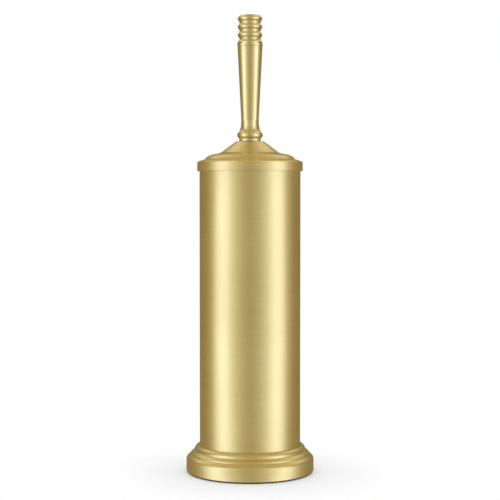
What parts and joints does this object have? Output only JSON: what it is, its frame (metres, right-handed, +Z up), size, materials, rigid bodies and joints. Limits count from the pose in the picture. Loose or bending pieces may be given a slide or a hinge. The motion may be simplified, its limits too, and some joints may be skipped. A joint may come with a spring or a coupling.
{
  "type": "toilet plunger with canister",
  "caption": "Flanged rubber plunger on a rod with a ribbed handle and a domed lid, standing in a tall round canister with a stepped, weighted foot and a lift-out drip tray.",
  "frame": {"origin": "on the floor, at the centre of the foot", "axes": "+Z up along the axis of the canister, rod and handle"},
  "size_m": [0.1616, 0.1616, 0.577],
  "materials": {
    "satin_gold": "satin gold plate, fine turned brushing",
    "tube_gold": "satin gold plate, very fine brushing",
    "handle_gold": "gold plate, semi-bright",
    "stainless": "satin stainless steel",
    "zinc_plated": "dull zinc plate",
    "ballast_iron": "raw casting, blackened",
    "black_rubber": "moulded black rubber, slightly bloomed",
    "foot_rubber": "matte black non-slip rubber",
    "white_plastic": "moulded off-white polypropylene"
  },
  "bodies": {
    "canister": {"canister_tube": "tube_gold", "canister_floor": "zinc_plated", "base_moulding": "satin_gold", "base_plate": "zinc_plated", "ballast_disc": "ballast_iron", "foot_pad": "foot_rubber", "base_screw_1": "stainless", "base_screw_2": "stainless", "base_screw_3": "stainless", "base_screw_4": "stainless"},
    "tray": {"drip_tray": "white_plastic"},
    "plunger": {"handle_cap": "handle_gold", "handle_grip": "handle_gold", "handle_insert": "zinc_plated", "neck_ring": "handle_gold", "handle_stud": "stainless", "lid_cover": "satin_gold", "lid_liner": "white_plastic", "lid_disc": "zinc_plated", "lid_nut": "zinc_plated", "rod_tube": "stainless", "rod_plug_top": "zinc_plated", "rod_plug_bottom": "zinc_plated", "cup_ferrule": "stainless", "cup_bell": "black_rubber", "cup_washer": "stainless", "cup_bolt": "stainless"},
    "cup_rim": {"cup_lip": "black_rubber", "cup_flange": "black_rubber"}
  },
  "joints": [
    {"name": "tray_lift", "type": "slide", "parent": "canister", "child": "tray", "axis": [0, 0, 1], "range_m": [0, 0.4]},
    {"name": "plunger_lift", "type": "slide", "parent": "tray", "child": "plunger", "axis": [0, 0, 1], "range_m": [0, 0.4]},
    {"name": "cup_press", "type": "slide", "parent": "plunger", "child": "cup_rim", "axis": [0, 0, 1], "range_m": [0, 0.02], "stiffness_N_per_m": 2000, "deforming": ["cup_bell"]}
  ]
}
